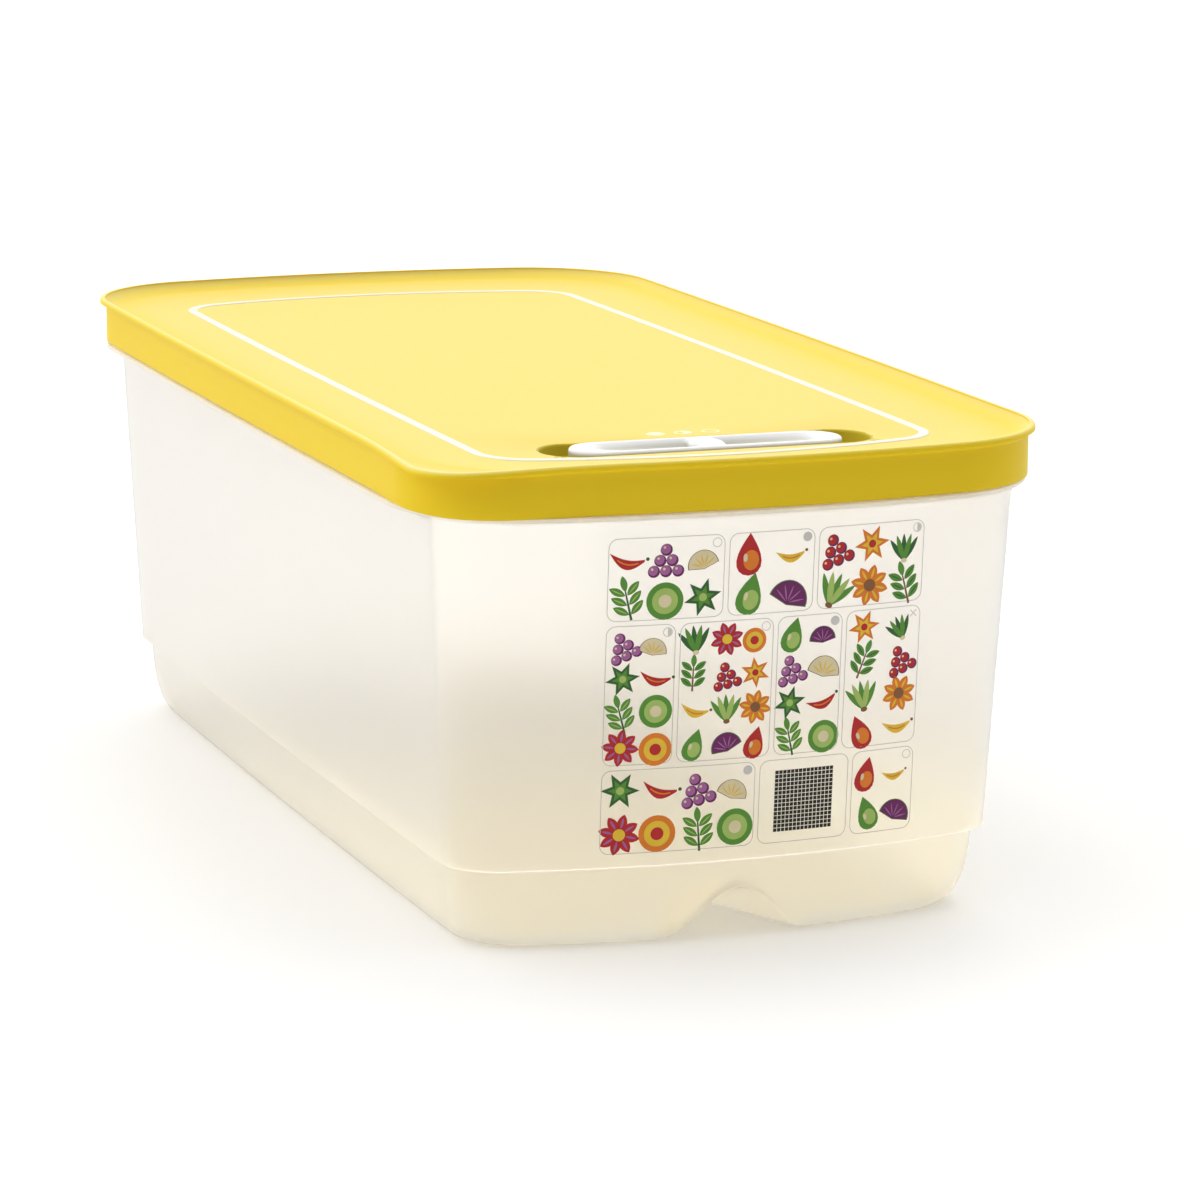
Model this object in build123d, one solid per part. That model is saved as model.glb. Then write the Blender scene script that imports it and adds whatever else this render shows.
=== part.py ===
from build123d import *
import os
from math import cos, hypot, pi, sin, sqrt

os.makedirs("parts", exist_ok=True)

# A long fridge keeper: frosted tub, soft press-on lid, sliding vent, printed chart.
# X runs across the keeper, Y along it with the chart end at -Y, Z up from the foot.
# An inset is measured inwards from the edge of the lid, which is the widest line.

# Overall sizes
lid_width = 186.0
lid_length = 379.0
overall_height = 135.0
side_bow = 1.3
end_bow = 11.0
clearance = 0.3

# Lid
lip_radius = 31.0
tab_radius = 17.0
lip_edge = 2.4
lip_drop = 2.0
lip_round = 0.6
lip_flat = 1.5
skirt_inset = 2.2
skirt_radius = 33.7
skirt_height = 14.1
skirt_wall = 1.5
panel_drop = 4.0
lid_wall = 1.5
cove_inset = 9.0
cove_rise = 0.4
cove_turns = 4
bead_inset = 26.9
bead_radius = 6.0
bead_width = 2.2
bead_height = 0.5
plug_wall = 1.5
plug_depth = 6.0

# Tub
tub_wall = 1.8
flange_inset = 0.6
flange_radius = 32.4
flange_thickness = 2.2
wall_top_inset = 9.0
wall_top_radius = 19.0
wall_taper_side = 4.2
wall_taper_end = 6.2
wall_step_radius = 16.0
step_height = 23.0
step_in = 2.6
step_drop = 1.0
base_turns = 7
foot_inset_side = 21.5
foot_inset_end = 25.0
foot_radius = 21.0
rim_wall = 1.8
shoulder_height = 3.0

# Corrugated floor
rib_count = 9
rib_pitch = 13.0
rib_groove_radius = 2.4
rib_end_gap = 24.0

# Finger notch in the chart end of the base
notch_width = 43.0
notch_height = 12.8
notch_reach = 32.0
notch_front_reach = 9.0
notch_back_scale = 0.3
notch_below = 5.0

# Vent
vent_from_end = 46.5
vent_travel = 8.0
slider_length = 78.0
slider_width = 17.5
slider_rise = 0.5
slider_shell = 1.4
slider_chamfer = 0.5
pocket_end_gap = 0.2
pocket_side_gap = 2.0
pocket_depth = 3.6
grip_width = 9.0
scoop_end_land = 4.5
scoop_width = 12.5
scoop_depth = 1.7
scoop_slope = 2.5
outlet_width = 6.0
outlet_height = 1.0
leg_from_end = 14.0
leg_length = 5.0
leg_width = 2.4
leg_clearance = 0.15
barb = 0.5
barb_height = 1.2
barb_gap = 0.1
port_length = 14.0
port_width = 3.6
port_offset = 13.0
port_side = 5.2
keeper_end_land = 3.5
keeper_width = 17.0
keeper_thickness = 1.6

# Printed chart on the front wall
film_thickness = 0.3
film_left = -42.5
film_right = 51.5
film_low_gap = 1.0
film_high_gap = 0.4
film_corner = 4.0

# How far a cutting shape runs past the face it opens
past = 1.0

# Heights that several pieces share
panel_top = overall_height - panel_drop
panel_under = panel_top - lid_wall
skirt_bottom = overall_height - skirt_height
rim_top = panel_under - clearance
rim_inset = skirt_inset + skirt_wall + clearance
rim_radius = skirt_radius - skirt_wall - clearance
flange_top = skirt_bottom - clearance
flange_bottom = flange_top - flange_thickness
wall_top = flange_bottom - shoulder_height
plug_inset = rim_inset + rim_wall + clearance
plug_radius = rim_radius - rim_wall - clearance
film_bottom = step_height + film_low_gap
film_top = wall_top - film_high_gap
pocket_floor = panel_top - pocket_depth
pocket_under = pocket_floor - lid_wall
keeper_top = pocket_under - clearance

# Lengths and places that the lid, the slide and the keeper plate share
vent_y = -lid_length / 2 + vent_from_end
pocket_length = slider_length + 2 * (vent_travel + pocket_end_gap)
pocket_width = slider_width + 2 * pocket_side_gap
scoop_length = (slider_length - grip_width) / 2 - scoop_end_land
scoop_offset = (scoop_length + grip_width) / 2
leg_offset = slider_length / 2 - leg_from_end
keeper_length = 2 * (leg_offset + leg_length / 2 + keeper_end_land)


def corner(half_x, half_y, radius):
    """Start, middle and end of the arc that joins the bowed side to the bowed end."""
    side_arc = (half_y ** 2 + side_bow ** 2) / (2 * side_bow)
    end_arc = (half_x ** 2 + end_bow ** 2) / (2 * end_bow)
    side_centre = half_x - side_arc
    end_centre = half_y - end_arc
    reach_side = side_arc - radius
    reach_end = end_arc - radius
    apart = hypot(side_centre, end_centre)
    along = (reach_side ** 2 - reach_end ** 2 + apart ** 2) / (2 * apart)
    across = sqrt(reach_side ** 2 - along ** 2)
    centre_x = side_centre - (along * side_centre + across * end_centre) / apart
    centre_y = (along * end_centre - across * side_centre) / apart
    start = (side_centre + side_arc * (centre_x - side_centre) / reach_side, side_arc * centre_y / reach_side)
    end = (end_arc * centre_x / reach_end, end_centre + end_arc * (centre_y - end_centre) / reach_end)
    lean_x = start[0] + end[0] - 2 * centre_x
    lean_y = start[1] + end[1] - 2 * centre_y
    lean = hypot(lean_x, lean_y)
    middle = (centre_x + radius * lean_x / lean, centre_y + radius * lean_y / lean)
    return start, middle, end


def outline(inset_x, inset_y, radius, z, tab=None):
    """Closed wire at height z: four bowed sides joined by tangent corner arcs.

    The corner at -X, -Y may have its own radius, which makes the pull tab.
    """
    half_x = lid_width / 2 - inset_x
    half_y = lid_length / 2 - inset_y
    plain = corner(half_x, half_y, radius)
    tabbed = corner(half_x, half_y, tab or radius)
    turns = [(1, 1, plain), (-1, 1, plain), (-1, -1, tabbed), (1, -1, plain)]
    arcs = []
    for sign_x, sign_y, points in turns:
        placed = [(sign_x * x, sign_y * y, z) for x, y in points]
        arcs.append(placed if sign_x == sign_y else placed[::-1])
    middles = [(0, half_y, z), (-half_x, 0, z), (0, -half_y, z), (half_x, 0, z)]
    edges = []
    for index, arc in enumerate(arcs):
        following = arcs[(index + 1) % 4]
        edges.append(Edge.make_three_point_arc(*arc))
        edges.append(Edge.make_three_point_arc(arc[2], middles[index], following[0]))
    return Wire(edges)


def stack(levels):
    """Solid through levels of inset across, inset along, corner radius, height, tab radius."""
    return Solid.make_loft([outline(*level) for level in levels], ruled=True)


def ring(inset, radius, width, bottom, top):
    """Upright wall that follows the outline, as wide as given towards the inside."""
    outer = stack([(inset, inset, radius, bottom), (inset, inset, radius, top)])
    inner_inset = inset + width
    inner_radius = radius - width
    inner = stack(
        [
            (inner_inset, inner_inset, inner_radius, bottom - past),
            (inner_inset, inner_inset, inner_radius, top + past),
        ]
    )
    return outer - inner


def slot_block(length, width, bottom, top, x=0.0, y=0.0):
    """Upright block with full round ends, lengthwise along X."""
    return Pos(x, y, bottom) * extrude(SlotOverall(length, width), top - bottom)


def block(length, width, bottom, top, x=0.0, y=0.0):
    """Upright rectangular block."""
    return Pos(x, y, (bottom + top) / 2) * Box(length, width, top - bottom)


def wall_insets(z):
    """Insets and corner radius of the tapered outer wall at height z."""
    share = (wall_top - z) / (wall_top - step_height)
    side = wall_top_inset + wall_taper_side * share
    end = wall_top_inset + wall_taper_end * share
    radius = wall_top_radius + (wall_step_radius - wall_top_radius) * share
    return side, end, radius


def base_levels(offset, floor):
    """Levels of the bowl-like base, an elliptic quarter from the foot up to the step."""
    side, end, radius = wall_insets(step_height)
    side = side + step_in
    end = end + step_in
    base_top = step_height - step_drop
    levels = []
    for turn in range(base_turns + 1):
        angle = pi / 2 * turn / base_turns
        spread = sin(angle)
        height = floor + (base_top - floor) * (1 - cos(angle))
        levels.append(
            (
                foot_inset_side + (side - foot_inset_side) * spread + offset,
                foot_inset_end + (end - foot_inset_end) * spread + offset,
                foot_radius + (radius - foot_radius) * spread - offset,
                height,
            )
        )
    return levels


def notch(grow):
    """Bell-shaped finger scoop under the chart end, grown outwards for its inner skin."""
    half = notch_width / 2 + grow
    height = notch_height + grow
    foot_line = -lid_length / 2 + foot_inset_end
    narrowing = (1 - notch_back_scale) / notch_reach
    sections = []
    for step_in_y in (-notch_front_reach, notch_reach + grow):
        y = foot_line + step_in_y
        scale = 1 - narrowing * step_in_y
        foot = half * scale
        top = height * scale
        level = [(1, 0, 0), (1, 0, 0)]
        rise = Spline((-foot, y, 0), (-foot / 2, y, top / 2), (0, y, top), tangents=level)
        fall = Spline((0, y, top), (foot / 2, y, top / 2), (foot, y, 0), tangents=level)
        sunk = Polyline((foot, y, 0), (foot, y, -notch_below), (-foot, y, -notch_below), (-foot, y, 0))
        sections.append(Wire(rise.edges() + fall.edges() + sunk.edges()))
    return Solid.make_loft(sections, ruled=True)


def rib_capsule(x, radius):
    """One lengthwise corrugation of the floor, a bar with round ends."""
    half = lid_length / 2 - foot_inset_end - rib_end_gap
    if abs(x) < notch_width / 2:
        start = -lid_length / 2 + foot_inset_end + notch_reach + 2 * tub_wall + 2 * rib_groove_radius
    else:
        start = -half
    bar = Pos(x, (start + half) / 2, 0) * Rot(90, 0, 0) * Cylinder(radius, half - start)
    for y in (start, half):
        bar += Pos(x, y, 0) * Sphere(radius)
    return bar


def container_tub():
    """One moulded shell: rim, flange, tapered walls, step, bowl base, ribbed floor."""
    top_side, top_end, top_radius = wall_insets(wall_top)
    step_side, step_end, step_radius = wall_insets(step_height)
    outer = stack(
        base_levels(0, 0)
        + [
            (step_side, step_end, step_radius, step_height),
            (top_side, top_end, top_radius, wall_top),
            (rim_inset, rim_inset, rim_radius, flange_bottom),
        ]
    )
    outer += ring(flange_inset, flange_radius, rim_wall + rim_inset - flange_inset, flange_bottom, flange_top)
    outer += ring(rim_inset, rim_radius, rim_wall, flange_bottom, rim_top)
    rim_inner = rim_inset + rim_wall
    rim_inner_radius = rim_radius - rim_wall
    hollow = stack(
        base_levels(tub_wall, tub_wall)
        + [
            (step_side + tub_wall, step_end + tub_wall, step_radius - tub_wall, step_height),
            (top_side + tub_wall, top_end + tub_wall, top_radius - tub_wall, wall_top),
            (rim_inner, rim_inner, rim_inner_radius, flange_top),
            (rim_inner, rim_inner, rim_inner_radius, rim_top + past),
        ]
    )
    hollow -= notch(tub_wall)
    tub = outer - notch(0) - hollow
    below = block(lid_width, lid_length, -2 * (rib_groove_radius + tub_wall), 0)
    places = [(index - (rib_count - 1) / 2) * rib_pitch for index in range(rib_count)]
    for x in places:
        tub += rib_capsule(x, rib_groove_radius + tub_wall) - below
    for x in places:
        tub -= rib_capsule(x, rib_groove_radius)
    return tub


def lid_seal():
    """Soft lid: skirt, flared lip, coved top, raised bead, plug ring and vent pocket."""
    lip_bottom = overall_height - lip_edge
    body = stack(
        [
            (skirt_inset, skirt_inset, skirt_radius, skirt_bottom),
            (skirt_inset, skirt_inset, skirt_radius, lip_bottom - lip_drop),
            (0, 0, lip_radius, lip_bottom, tab_radius),
            (0, 0, lip_radius, overall_height - lip_round, tab_radius),
            (lip_round, lip_round, lip_radius - lip_round, overall_height, tab_radius - lip_round),
        ]
    )
    cove_levels = [(bead_inset, bead_inset, bead_radius, panel_top)]
    for turn in range(cove_turns + 1):
        angle = pi / 2 * turn / cove_turns
        inset = cove_inset - (cove_inset - lip_flat) * sin(angle)
        rise = cove_rise + (panel_drop - cove_rise) * (1 - cos(angle))
        cove_levels.append((inset, inset, lip_radius - inset / 2, panel_top + rise))
    cove_levels.append((lip_flat, lip_flat, lip_radius - lip_flat / 2, overall_height + past))
    cove = stack(cove_levels)
    under_inset = skirt_inset + skirt_wall
    under = stack(
        [
            (under_inset, under_inset, skirt_radius - skirt_wall, skirt_bottom - past),
            (under_inset, under_inset, skirt_radius - skirt_wall, panel_under),
        ]
    )
    lid = body - cove - under
    lid += ring(plug_inset, plug_radius, plug_wall, panel_under - plug_depth, panel_under + lid_wall / 2)
    lid += ring(bead_inset, bead_radius, bead_width, panel_top - lid_wall / 2, panel_top + bead_height)
    cup_length = pocket_length + 2 * lid_wall
    cup_width = pocket_width + 2 * lid_wall
    lid += slot_block(cup_length, cup_width, pocket_under, panel_under + lid_wall / 2, y=vent_y)
    lid -= slot_block(pocket_length, pocket_width, pocket_floor, panel_top + past, y=vent_y)
    slot_length = leg_length + 2 * vent_travel + 2 * clearance
    slot_width = leg_width + 2 * clearance
    for side in (-1, 1):
        x = side * leg_offset
        lid -= block(slot_length, slot_width, pocket_under - past, pocket_floor + past, x, vent_y)
    return lid - ports(pocket_under, pocket_floor, 0)


def ports(bottom, top, shift):
    """Cutting shapes of the four air ports, moved along X by shift."""
    cuts = []
    for side in (-1, 1):
        for row in (-1, 1):
            x = side * port_offset + shift
            y = vent_y + row * port_side
            cuts.append(slot_block(port_length, port_width, bottom - past, top + past, x, y))
    return cuts


def vent_slider():
    """Oval slide with two finger scoops, a middle grip and two legs through the lid."""
    bottom = pocket_floor + clearance
    top = panel_top + slider_rise
    slider = slot_block(slider_length, slider_width, bottom, top, y=vent_y)
    slider = chamfer(slider.edges().group_by(Axis.Z)[-1], slider_chamfer)
    inside_length = slider_length - 2 * slider_shell
    inside_width = slider_width - 2 * slider_shell
    roof = top - scoop_depth - slider_shell
    slider -= slot_block(inside_length, inside_width, bottom - past, roof, y=vent_y)
    scoop_floor = SlotOverall(scoop_length - 2 * scoop_slope, scoop_width - 2 * scoop_slope)
    scoop_mouth = SlotOverall(scoop_length, scoop_width)
    head_top = keeper_top - keeper_thickness - barb_gap
    head_bottom = head_top - barb_height
    leg_top = roof + slider_shell / 2
    for side in (-1, 1):
        x = side * scoop_offset
        slider -= loft(
            [Pos(x, vent_y, top - scoop_depth) * scoop_floor, Pos(x, vent_y, top) * scoop_mouth],
            ruled=True,
        )
    for side in (-1, 1):
        x = side * leg_offset
        slider += block(leg_length, leg_width, head_bottom, leg_top, x, vent_y)
        slider += block(leg_length + 2 * barb, leg_width, head_bottom, head_top, x, vent_y)
        end_x = side * slider_length / 2
        outlet_top = bottom + outlet_height
        slider -= block(4 * slider_shell, outlet_width, bottom - past, outlet_top, end_x, vent_y)
    return slider


def vent_keeper():
    """Plate under the lid that holds the slide down and carries the shutter ports."""
    bottom = keeper_top - keeper_thickness
    keeper = slot_block(keeper_length, keeper_width, bottom, keeper_top, y=vent_y)
    hole_length = leg_length + 2 * leg_clearance
    hole_width = leg_width + 2 * leg_clearance
    for side in (-1, 1):
        x = side * leg_offset
        keeper -= block(hole_length, hole_width, bottom - past, keeper_top + past, x, vent_y)
    return keeper - ports(bottom, keeper_top, -vent_travel)


def chart_film():
    """Thin printed film that lies on the front wall and follows its bow and taper."""
    step_side, step_end, step_radius = wall_insets(step_height)
    top_side, top_end, top_radius = wall_insets(wall_top)
    solids = []
    for proud in (0, film_thickness):
        low = (step_side, step_end - proud, step_radius, step_height)
        high = (top_side, top_end - proud, top_radius, wall_top)
        solids.append(stack([low, high]))
    patch = Plane.XZ * RectangleRounded(film_right - film_left, film_top - film_bottom, film_corner)
    middle = Pos((film_left + film_right) / 2, 0, (film_top + film_bottom) / 2)
    window = middle * extrude(patch, lid_length / 2)
    wall, skin = solids
    return (skin & window) - wall


pieces = {
    "container_tub": container_tub(),
    "lid_seal": lid_seal(),
    "vent_slider": vent_slider(),
    "vent_keeper": vent_keeper(),
    "chart_film": chart_film(),
}
for name, shape in pieces.items():
    export_step(shape, f"parts/{name}.step")
    size = shape.bounding_box().size
    print(name, round(shape.volume), [round(v, 1) for v in (size.X, size.Y, size.Z)])
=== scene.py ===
from math import atan2, cos, hypot, pi, radians, sin, sqrt

import bpy
import numpy as np
from mathutils import Matrix, Vector
from mathutils.geometry import delaunay_2d_cdt


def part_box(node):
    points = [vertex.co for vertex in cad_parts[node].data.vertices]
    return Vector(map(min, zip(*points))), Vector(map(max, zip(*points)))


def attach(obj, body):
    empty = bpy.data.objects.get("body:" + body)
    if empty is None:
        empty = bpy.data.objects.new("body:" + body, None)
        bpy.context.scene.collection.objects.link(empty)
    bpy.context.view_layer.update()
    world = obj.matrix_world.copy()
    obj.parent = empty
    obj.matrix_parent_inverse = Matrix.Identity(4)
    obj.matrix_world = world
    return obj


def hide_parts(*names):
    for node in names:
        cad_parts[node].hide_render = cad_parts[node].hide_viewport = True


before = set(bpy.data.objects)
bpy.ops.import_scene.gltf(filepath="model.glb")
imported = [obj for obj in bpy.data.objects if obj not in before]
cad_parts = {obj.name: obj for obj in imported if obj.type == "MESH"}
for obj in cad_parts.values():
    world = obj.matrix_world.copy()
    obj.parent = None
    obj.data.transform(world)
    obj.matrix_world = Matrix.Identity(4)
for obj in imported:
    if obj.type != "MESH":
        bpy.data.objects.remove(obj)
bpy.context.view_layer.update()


# The tub: one shell of frosted polypropylene, injection moulded with its rim, flange,
# step, bowl-like base, ribbed floor and finger notch. It carries everything else.
# Sizes are in millimetres here and become metres when a piece is finished.
mm = 0.001
lid_low, lid_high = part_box("lid_seal")
lid_width = (lid_high.x - lid_low.x) / mm
lid_length = (lid_high.y - lid_low.y) / mm
overall_height = lid_high.z / mm
side_bow = 1.3
end_bow = 11.0
corner_steps = 18
side_steps = 60
back_steps = 44
front_steps = 150

tub_wall = 1.8
flange_inset = 0.6
flange_radius = 43.5
wall_top_inset = 9.0
wall_top_radius = 19.0
wall_taper_side = 4.2
wall_taper_end = 6.2
wall_step_radius = 16.0
step_height = 23.0
step_in = 2.6
step_drop = 1.0
foot_inset_side = 21.5
foot_inset_end = 25.0
foot_radius = 21.0
flange_bottom = overall_height - 16.6
flange_top = overall_height - 14.4
ledge_bottom = flange_top - 1.2
wall_top = flange_bottom - 3.0
rim_inset = 4.0
rim_radius = 34.7
rim_wall = 1.8
base_turns = 34
neck_turns = 6
throat_turns = 5
wall_shares = (0.1, 0.3, 0.5, 0.7, 0.85, 0.97)
inner_wall_shares = (0.9, 0.7, 0.5, 0.3, 0.1)

rib_count = 9
rib_pitch = 13.0
rib_groove = 2.4
rib_end_gap = 24.0
notch_width = 43.0
notch_height = 12.8
notch_reach = 32.0
notch_back_scale = 0.3
notch_soft = 1.2
fade_length = 10.0
fade_overrun = 5.0

# Rows of points over the floor: from, to and gap along Y, fine at the notch and where
# the ribs end, coarse along them
floor_rows = [
    (-lid_length / 2, -115.0, 1.0),
    (-115.0, 125.0, 6.0),
    (125.0, 150.0, 1.2),
    (152.0, lid_length / 2, 4.0),
]


def corner_arc(half_x, half_y, radius):
    """Points of the arc that joins the bowed side to the bowed end, in the +X, +Y quarter."""
    side_arc = (half_y ** 2 + side_bow ** 2) / (2 * side_bow)
    end_arc = (half_x ** 2 + end_bow ** 2) / (2 * end_bow)
    side_centre = half_x - side_arc
    end_centre = half_y - end_arc
    reach_side = side_arc - radius
    reach_end = end_arc - radius
    apart = hypot(side_centre, end_centre)
    along = (reach_side ** 2 - reach_end ** 2 + apart ** 2) / (2 * apart)
    across = sqrt(reach_side ** 2 - along ** 2)
    centre_x = side_centre - (along * side_centre + across * end_centre) / apart
    centre_y = (along * end_centre - across * side_centre) / apart
    first = atan2(centre_y, centre_x - side_centre)
    last = atan2(centre_y - end_centre, centre_x)
    angles = np.linspace(first, last, corner_steps + 1)
    return np.stack([centre_x + radius * np.cos(angles), centre_y + radius * np.sin(angles)], 1)


def outline(inset_x, inset_y, radius, tab=None):
    """Rounded rectangle with bowed sides, anticlockwise; the -X, -Y corner may have its own radius."""
    half_x = lid_width / 2 - inset_x
    half_y = lid_length / 2 - inset_y
    side_arc = (half_y ** 2 + side_bow ** 2) / (2 * side_bow)
    end_arc = (half_x ** 2 + end_bow ** 2) / (2 * end_bow)
    plain = corner_arc(half_x, half_y, radius)
    tabbed = corner_arc(half_x, half_y, tab) if tab else plain

    def end_line(first, last, steps, sign):
        x = np.linspace(first, last, steps + 1)[1:-1]
        return np.stack([x, sign * (half_y - end_arc + np.sqrt(end_arc ** 2 - x ** 2))], 1)

    def side_line(first, last, sign):
        y = np.linspace(first, last, side_steps + 1)[1:-1]
        return np.stack([sign * (half_x - side_arc + np.sqrt(side_arc ** 2 - y ** 2)), y], 1)

    far_left = plain[::-1] * (-1, 1)
    near_left = tabbed * (-1, -1)
    near_right = plain[::-1] * (1, -1)
    return np.concatenate([
        plain,
        end_line(plain[-1, 0], far_left[0, 0], back_steps, 1),
        far_left,
        side_line(far_left[-1, 1], near_left[0, 1], -1),
        near_left,
        end_line(near_left[-1, 0], near_right[0, 0], front_steps, -1),
        near_right,
        side_line(near_right[-1, 1], plain[0, 1], 1),
    ])


class Moulding:
    """Collects the loops and filled patches of one moulded piece, in millimetres."""

    def __init__(self):
        self.points = []
        self.faces = []
        self.tone = {}

    def loop(self, flat, height, tone=None):
        start = len(self.points)
        heights = np.broadcast_to(height, len(flat))
        self.points.extend((x, y, z) for (x, y), z in zip(flat, heights))
        if tone is not None:
            self.tone.update(zip(range(start, len(self.points)), tone))
        return list(range(start, len(self.points)))

    def bridge(self, lower, upper):
        """Band of quads; faces out when both loops run anticlockwise and upper is above."""
        count = len(lower)
        for i in range(count):
            j = (i + 1) % count
            self.faces.append((lower[i], lower[j], upper[j], upper[i]))

    def bands(self, loops):
        for lower, upper in zip(loops, loops[1:]):
            self.bridge(lower, upper)

    def fill(self, rim, holes, inner, height, up):
        """Triangles inside rim and outside holes; inner points get their height from a function."""
        known = list(rim) + [i for hole in holes for i in hole]
        flat = [Vector(self.points[i][:2]) for i in known] + [Vector(p) for p in inner]
        start = len(self.points)
        if len(inner):
            heights = height(inner[:, 0], inner[:, 1])
            self.points.extend((x, y, z) for (x, y), z in zip(inner, heights))
        index = known + list(range(start, len(self.points)))
        edges = []
        first = 0
        for ring in [rim] + list(holes):
            count = len(ring)
            edges += [(first + i, first + (i + 1) % count) for i in range(count)]
            first += count
        _, _, faces, origin, _, _ = delaunay_2d_cdt(flat, edges, [], 0, 1e-6)
        corners = np.array([[origin[i][0] for i in face] for face in faces])
        places = np.array([tuple(p) for p in flat])
        middles = places[corners].mean(1)
        keep = inside(middles, places[:len(rim)])
        first = len(rim)
        for hole in holes:
            keep &= ~inside(middles, places[first:first + len(hole)])
            first += len(hole)
        for face in corners[keep]:
            a, b, c = (index[i] for i in face)
            self.faces.append((a, b, c) if up else (c, b, a))

    def box(self, low, high):
        """Plain block, for legs and barbs."""
        x = (low[0], high[0])
        y = (low[1], high[1])
        flat = [(x[0], y[0]), (x[1], y[0]), (x[1], y[1]), (x[0], y[1])]
        under = self.loop(flat, low[2])
        over = self.loop(flat, high[2])
        self.bridge(under, over)
        self.faces.append(tuple(under[::-1]))
        self.faces.append(tuple(over))

    def finish(self, name, material, crease=38):
        """Mesh object in metres with smooth faces and creased edges."""
        mesh = bpy.data.meshes.new(name)
        mesh.from_pydata([(x * mm, y * mm, z * mm) for x, y, z in self.points], [], self.faces)
        mesh.validate()
        if self.tone:
            tone = mesh.attributes.new("tone", "FLOAT", "POINT")
            for index, value in self.tone.items():
                tone.data[index].value = value
        mesh.shade_smooth()
        mesh.set_sharp_from_angle(angle=radians(crease))
        mesh.materials.append(material)
        piece = bpy.data.objects.new(name, mesh)
        bpy.context.scene.collection.objects.link(piece)
        return piece


def inside(points, ring):
    """Which points lie inside a closed ring."""
    result = np.zeros(len(points), bool)
    x, y = points[:, 0], points[:, 1]
    for (ax, ay), (bx, by) in zip(ring, np.roll(ring, -1, 0)):
        if ay == by:
            continue
        crosses = (ay > y) != (by > y)
        result ^= crosses & (x < (bx - ax) * (y - ay) / (by - ay) + ax)
    return result


def soft_max(a, b, blend):
    """The larger of two heights with a rounded meeting."""
    share = np.clip(0.5 + 0.5 * (a - b) / blend, 0, 1)
    return b + (a - b) * share + blend * share * (1 - share)


def wall_insets(z):
    """Insets and corner radius of the tapered outer wall at height z."""
    share = (wall_top - z) / (wall_top - step_height)
    side = wall_top_inset + wall_taper_side * share
    end = wall_top_inset + wall_taper_end * share
    radius = wall_top_radius + (wall_step_radius - wall_top_radius) * share
    return side, end, radius


def notch_roof(x, y, grow):
    """Height of the finger scoop above the floor line, 0 away from it."""
    depth = y + lid_length / 2 - foot_inset_end
    narrowing = (1 - notch_back_scale) / notch_reach
    scale = np.clip(1 - narrowing * depth, 0.05, 2)
    fade = np.clip((notch_reach + fade_overrun + grow - depth) / fade_length, 0, 1)
    fade = fade * fade * (3 - 2 * fade)
    spread = np.clip(np.abs(x) / ((notch_width / 2 + grow) * scale), 0, 1)
    return (notch_height + grow) * scale * 0.5 * (1 + np.cos(pi * spread)) * fade


def rib_height(x, y, radius):
    """Height of the round lengthwise corrugations over the floor line."""
    half = lid_length / 2 - foot_inset_end - rib_end_gap
    nearest = np.clip(np.round(x / rib_pitch), -(rib_count - 1) / 2, (rib_count - 1) / 2)
    off = x - nearest * rib_pitch
    first = -lid_length / 2 + foot_inset_end + notch_reach + 2 * tub_wall + 2 * rib_groove
    start = np.where(np.abs(nearest * rib_pitch) < notch_width / 2, first, -half)
    past = np.maximum(start - y, 0) + np.maximum(y - half, 0)
    return np.sqrt(np.clip(radius ** 2 - off ** 2 - past ** 2, 0, None))


def base_loops(tub, offset, floor, grow):
    """Loops of the bowl-like base from the foot to just under the step."""
    side, end, radius = wall_insets(step_height)
    side += step_in
    end += step_in
    top = step_height - step_drop
    loops = []
    for turn in range(base_turns + 1):
        angle = pi / 2 * turn / base_turns
        spread = sin(angle)
        flat = outline(
            foot_inset_side + (side - foot_inset_side) * spread + offset,
            foot_inset_end + (end - foot_inset_end) * spread + offset,
            foot_radius + (radius - foot_radius) * spread - offset,
        )
        height = floor + (top - floor) * (1 - cos(angle))
        roof = notch_roof(flat[:, 0], flat[:, 1], grow)
        lifted = np.where(roof > 0.01, soft_max(roof, np.full(len(flat), height), notch_soft), height)
        loops.append(tub.loop(flat, lifted))
    return loops


def floor_points(rim, gap=1.3):
    """Grid for the floor: fine across the ribs and at the notch, coarser along the ribs."""
    across = np.arange(-lid_width / 2, lid_width / 2, rib_pitch / 16)
    along = np.concatenate([np.arange(*row) for row in floor_rows])
    grid = np.array([(x, y) for y in along for x in across])
    shrunk = rim * (1 - gap / np.abs(rim).max(0))
    return grid[inside(grid, shrunk)]


def under_floor(x, y):
    """Height of the underside of the floor."""
    return np.maximum(rib_height(x, y, rib_groove), notch_roof(x, y, 0))


def inner_floor(x, y):
    """Height of the upper side of the floor."""
    ribbed = soft_max(rib_height(x, y, rib_groove + tub_wall), np.full(len(x), tub_wall), 0.6)
    return np.maximum(ribbed, notch_roof(x, y, tub_wall))


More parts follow.
